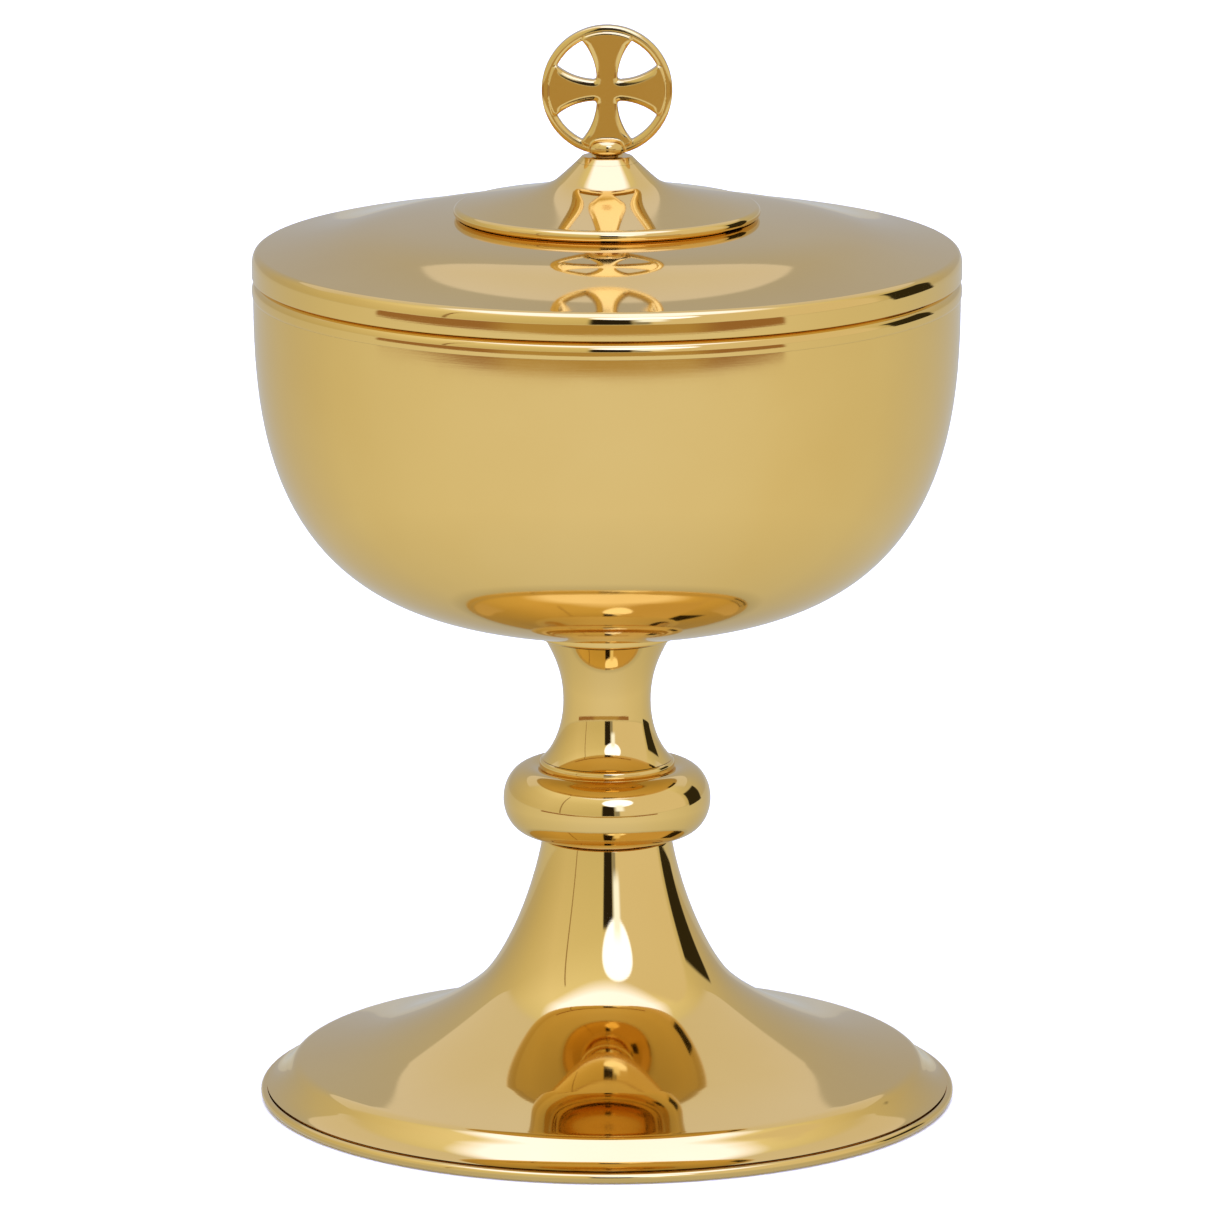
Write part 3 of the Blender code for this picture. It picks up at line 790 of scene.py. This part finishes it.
def make_hardware(brass, steel):
    rod_radius, low, high = extent("tie_rod")
    rod = threaded("stem_tie_rod", rod_radius, low, high, 1.0, low + 0.4, low + 14.0)
    settle(rod, "base", "brass_hardware", [brass], "tie_rod")

    stud_radius, low, high = extent("finial_stud")
    stud = threaded("finial_screw", stud_radius, low, high, 0.7, low + 0.3, low + 9.0)
    settle(stud, "lid", "brass_hardware", [brass], "finial_stud")

    rod_hole, stud_hole = rod_radius + CLEARANCE, stud_radius + CLEARANCE
    for name, node, hole, body in (("foot_nut", "base_nut", rod_hole, "base"),
                                   ("lid_nut", "finial_nut", stud_hole, "lid")):
        settle(nut(name, node, hole), body, "brass_hardware", [brass], node)

    radius, low, high = extent("base_washer")
    corners = [(radius, high - 0.4), (radius, low), (rod_hole, low), (rod_hole, high),
               (radius - 0.8, high)]
    washer = turned("foot_washer", softened(corners, [0.2, 0.3, 0.2, 0.2, 0.2]), SMALL)
    settle(washer, "base", "brass_hardware", [brass], "base_washer")

    radius, low, high = extent("finial_washer")
    washer = turned("lid_washer", ring_section(stud_hole, radius, low, high, 0.35), SMALL)
    settle(washer, "lid", "brass_hardware", [brass], "finial_washer")

    # these two keep their CAD shapes
    for name, finish, slot in (("lock_washer", steel, "spring_steel"),
                               ("cup_boss", brass, "brass_hardware")):
        node = NODES[name]
        node.data.materials.clear()
        node.data.materials.append(finish)


# ---------------------------------------------------------------- studio

def make_camera():
    """A long lens a little under two metres away, a little above the vessel."""
    elevation, distance, look_z = radians(12.09), 1.794, 0.100
    eye = Vector((0.0, -distance * cos(elevation), look_z + distance * sin(elevation)))
    aim = Vector((0.0, 0.0, 0.0921))
    data = bpy.data.cameras.new("camera")
    data.lens = 288.85
    data.sensor_width = 36.0
    data.clip_start, data.clip_end = 0.05, 60.0
    camera = bpy.data.objects.new("camera", data)
    camera.location = eye
    camera.rotation_mode = "QUATERNION"
    camera.rotation_quaternion = (aim - eye).to_track_quat("-Z", "Y")
    bpy.context.scene.collection.objects.link(camera)
    bpy.context.scene.camera = camera


def stage_piece(name, mesh, *hidden_from):
    """A piece of the studio that the named kinds of ray do not meet."""
    obj = place(name, mesh)
    for kind in hidden_from:
        setattr(obj, "visible_" + kind, False)
    return obj


def make_sweep():
    """A wide round sheet of pale card that curves up into a wall far behind everything."""
    floor, curve, wall_top = 5.0, 2.0, 5.0
    profile = [(r, 0.0) for r in np.linspace(0.0, floor, 26)]
    profile += [(floor + curve * sin(a), curve - curve * cos(a))
                for a in np.radians(np.linspace(4, 90, 24))]
    profile.append((floor + curve, wall_top))
    bm = bmesh.new()
    spun = [bm.verts.new((r, 0.0, z)) for r, z in profile]
    edges = [bm.edges.new(pair) for pair in zip(spun, spun[1:])]
    bmesh.ops.spin(bm, geom=spun + edges, cent=(0, 0, 0), axis=(0, 0, 1), angle=2 * pi,
                   steps=96)
    bmesh.ops.remove_doubles(bm, verts=bm.verts, dist=0.0001)
    bmesh.ops.recalc_face_normals(bm, faces=bm.faces)
    mesh = bpy.data.meshes.new("pale_card_sweep")
    bm.to_mesh(mesh)
    bm.free()
    mesh.shade_smooth()
    sweep = stage_piece("pale_card_sweep", mesh, "glossy")
    sweep.location.z = -0.0003            # just under the foot
    n = Nodes(bpy.data.materials.new("pale_card"))
    grain = n.noise(900.0, 3.0)
    pale, duller = (0.91, 0.905, 0.895), (0.89, 0.885, 0.875)
    n.link(n.blend(n.spread(grain, 0.3, 0.7, 0.0, 1.0), pale, duller),
           n.shader.inputs["Base Color"])
    n.shader.inputs["Roughness"].default_value = 0.9
    n.shader.inputs["Specular IOR Level"].default_value = 0.1
    n.bump([(grain, 0.00005)])
    mesh.materials.append(n.owner)


def emitter(name):
    """A material that only glows, as a card in steady light does."""
    n = Nodes(bpy.data.materials.new(name))
    n.owner.cycles.emission_sampling = "NONE"
    n.tree.nodes.remove(n.shader)
    n.shader = n.new("ShaderNodeEmission")
    n.link(n.shader.outputs[0], n.tree.nodes["Material Output"].inputs["Surface"])
    return n


def window(n, value, low, high, soft):
    """1 between two values and 0 outside them, with soft edges."""
    rise = n.new("ShaderNodeMapRange", interpolation_type="SMOOTHSTEP")
    fall = n.new("ShaderNodeMapRange", interpolation_type="SMOOTHSTEP")
    for node, numbers in ((rise, (low - soft, low + soft, 0, 1)),
                          (fall, (high - soft, high + soft, 1, 0))):
        n.link(value, node.inputs["Value"])
        for socket, number in zip(list(node.inputs)[1:5], numbers):
            socket.default_value = number
    return n.math("MULTIPLY", rise.outputs[0], fall.outputs[0])


def make_table():
    """The table as the polished metal sees it: bright in front, duller behind, wood beyond it."""
    mesh = bpy.data.meshes.new("table_glow")
    bm = bmesh.new()
    bmesh.ops.create_circle(bm, cap_ends=True, segments=96, radius=12.0)
    bm.to_mesh(mesh)
    bm.free()
    card = stage_piece("table_glow", mesh, "camera", "diffuse", "transmission",
                       "volume_scatter", "shadow")
    card.location.z = -0.0001
    n = emitter("table_glow")
    x, y, _ = n.parts(n.place)
    forward = n.math("MULTIPLY", y, -1.0)
    radius = n.length(x, y)
    azimuth = n.degrees_from(x, forward)
    glow = n.ramp(n.math("DIVIDE", forward, radius), TABLE_ROUND)
    glow = n.blend(n.spread(radius, *TABLE_FAR_FROM, 0.0, TABLE_FAR_SHARE), glow, TABLE_FAR)

    # the edge beyond which the wood starts is further off to the sides: by bow, at width degrees
    width, bow = 60.0, 0.06
    bend = n.math("MULTIPLY", n.math("POWER", n.math("DIVIDE", azimuth, width), 2.0), bow)
    edge = n.math("SUBTRACT", radius, bend)
    for az, reach, soft, colour in TABLE_ZONES:
        side = window(n, azimuth, *az, soft[0])
        depth = window(n, edge, *reach, soft[1])
        glow = n.blend(n.math("MULTIPLY", side, depth), glow, colour)
    shade = [n.spread(radius, *numbers) for numbers in TABLE_SHADE]
    n.link(glow, n.shader.inputs["Color"])
    n.link(n.math("MULTIPLY", *shade), n.shader.inputs["Strength"])
    mesh.materials.append(n.owner)


def make_tent():
    """The room as the metal sees it: dim cards all round, bright overhead, a lit panel in front."""
    world = bpy.data.worlds.new("tent")
    bpy.context.scene.world = world
    n = Nodes(world, "Background", "Generated")
    x, y, z = n.parts(n.place)
    forward = n.math("MULTIPLY", y, -1.0)
    elevation = n.math("MULTIPLY", n.math("ARCSINE", z), 180 / pi)
    azimuths = {"front": n.degrees_from(x, forward), "back": n.degrees_from(x, y)}

    never_zero = 1.0001
    flat = n.math("SQRT", n.math("SUBTRACT", never_zero, n.math("MULTIPLY", z, z)))
    facing = n.math("DIVIDE", forward, flat)
    product = n.new("ShaderNodeMix", data_type="RGBA", blend_type="MULTIPLY")
    product.inputs["Factor"].default_value = 1.0
    n.link(n.ramp(facing, TENT_ROUND), product.inputs["A"])
    n.link(n.ramp(z, TENT_GAIN), product.inputs["B"])
    glow = product.outputs["Result"]
    for side, shape, az, el, soft, colour in TENT_PATCHES:
        azimuth = azimuths[side]
        if shape == "oval":
            squares = []
            for value, (low, high) in ((azimuth, az), (elevation, el)):
                offset = n.math("SUBTRACT", value, (low + high) / 2)
                offset = n.math("DIVIDE", offset, (high - low) / 2)
                squares.append(n.math("POWER", offset, 2.0))
            reach = n.math("ADD", *squares)
            mask = n.spread(reach, 1.0 - soft[0], 1.0 + soft[0], 1.0, 0.0)
        else:
            mask = n.math("MULTIPLY", window(n, azimuth, *az, soft[0]),
                          window(n, elevation, *el, soft[1]))
        glow = n.blend(mask, glow, colour)

    # the overhead light comes down lower in front than behind
    tilt, limit, fade_low, fade_high = -11.0, 62.0, -5.0, 4.0
    edge = n.math("ADD", n.math("MULTIPLY", facing, tilt), limit)
    over = n.spread(n.math("SUBTRACT", elevation, edge), fade_low, fade_high, 0.0, 1.0)
    n.link(n.blend(over, glow, TENT_OVERHEAD), n.shader.inputs["Color"])
    n.shader.inputs["Strength"].default_value = 0.86


def overhead(name, size, height, watts):
    """A soft light on the pale card, for its brightness and the shadow on it; no gloss sees it."""
    data = bpy.data.lights.new(name, "AREA")
    data.shape = "DISK"
    data.size = size
    data.energy = watts
    light = bpy.data.objects.new(name, data)
    light.location = (0.0, 0.0, height)
    light.visible_camera = False
    light.visible_glossy = False
    bpy.context.scene.collection.objects.link(light)


# radiance of the table by direction from the vessel, -1 behind and 1 in front
TABLE_ROUND = (
    (-1.0, (0.64, 0.66, 0.68)),
    (-0.64, (0.76, 0.78, 0.75)),
    (-0.1, (0.88, 0.90, 0.85)),
    (0.57, (0.955, 0.975, 0.96)),
    (1.0, (1.00, 1.04, 1.12)),
)
# its far part, how much of it is mixed in, and between which distances
TABLE_FAR, TABLE_FAR_SHARE, TABLE_FAR_FROM = (0.66, 0.65, 0.60), 0.45, (1.9, 5.0)
# two factors of its strength, each between two distances: the vessel's own shade on it
TABLE_SHADE = ((0.064, 0.075, 0.60, 0.78), (0.075, 0.20, 1.0, 1.11))
# azimuth range, distance range in metres, softness of each, radiance
TABLE_ZONES = (
    ((-77, 57), (0.745, 2.6), (1.0, 0.008), (0.43, 0.25, 0.13)),
    ((-34, 30), (0.745, 2.6), (7.0, 0.008), (0.60, 0.45, 0.21)),
    ((103, 128), (0.85, 12.0), (1.0, 0.02), (0.04, 0.035, 0.02)),
)
# radiance of the room near the horizon, by the same measure
TENT_ROUND = (
    (-1.0, (0.55, 0.57, 0.62)),
    (-0.7, (0.67, 0.66, 0.57)),
    (-0.26, (0.78, 0.76, 0.60)),
    (0.3, (0.88, 0.86, 0.72)),
    (1.0, (0.84, 0.83, 0.66)),
)
# and how it grows upwards, by the sine of the elevation
TENT_GAIN = (
    (-1.0, (1.0, 1.0, 1.0)),
    (0.1, (1.0, 1.0, 1.0)),
    (0.5, (1.12, 1.13, 1.18)),
    (0.72, (1.28, 1.32, 1.50)),
    (1.0, (1.40, 1.50, 1.80)),
)
TENT_OVERHEAD = (1.70, 2.10, 4.60)
# side from which azimuths count, shape, azimuth range, elevation range, softness, radiance
TENT_PATCHES = (
    ("front", "window", (13, 98), (-5, 52), (3.0, 4.0), (0.98, 0.97, 0.96)),
    ("front", "window", (-54.0, -52.6), (-1, 46), (0.4, 1.0), (0.40, 0.28, 0.16)),
    ("front", "window", (-5.5, 8.5), (-1, 28), (1.2, 1.0), (0.03, 0.025, 0.02)),
    ("front", "window", (8.5, 14), (-1, 26), (1.2, 1.0), (0.40, 0.42, 0.48)),
    ("front", "oval", (-6, 33), (25, 47.5), (0.12, 0), (2.0, 2.6, 6.0)),
    ("front", "window", (10, 19), (13, 30), (2.5, 3.0), (1.5, 1.9, 3.6)),
    ("front", "window", (103, 128), (-2, 22), (1.0, 1.5), (0.04, 0.035, 0.02)),
    ("back", "window", (-60, 60), (30.5, 75), (6.0, 0.4), (0.92, 0.95, 1.12)),
)


def make_studio():
    make_camera()
    make_sweep()
    make_table()
    make_tent()
    overhead("overhead_soft", 3.2, 3.0, 95)
    settings = bpy.context.scene.view_settings
    settings.view_transform = "Standard"
    settings.look = "None"
    settings.exposure = 0.0
    settings.gamma = 1.0


# ---------------------------------------------------------------- all of it

def main():
    plate = gilt("gilt_plate")
    wall = gilt("gilt_wall", gloss=0.05, haze=0.045)
    stem = gilt("gilt_stem_metal", gloss=0.025, haze=0.035, wave_scale=60.0, waves=0.00004)
    foot = gilt("gilt_foot_metal", waves=0.00009)
    cast = gilt("gilt_cast", gloss=0.07, haze=0.06, wave_scale=180.0, waves=0.00004)
    satin = satin_gilt("gilt_satin")
    lining = gilt("gilt_lining", gloss=0.11, haze=0.06)
    brass = plain_brass("brass_metal")
    steel = spring_steel("zinc_steel")

    make_foot(foot, satin)
    make_stem(stem)
    make_cup(wall, lining, plate)
    make_lid(plate, lining)
    make_boss(plate, satin)
    make_finial(cast)
    make_hardware(brass, steel)
    make_studio()


main()
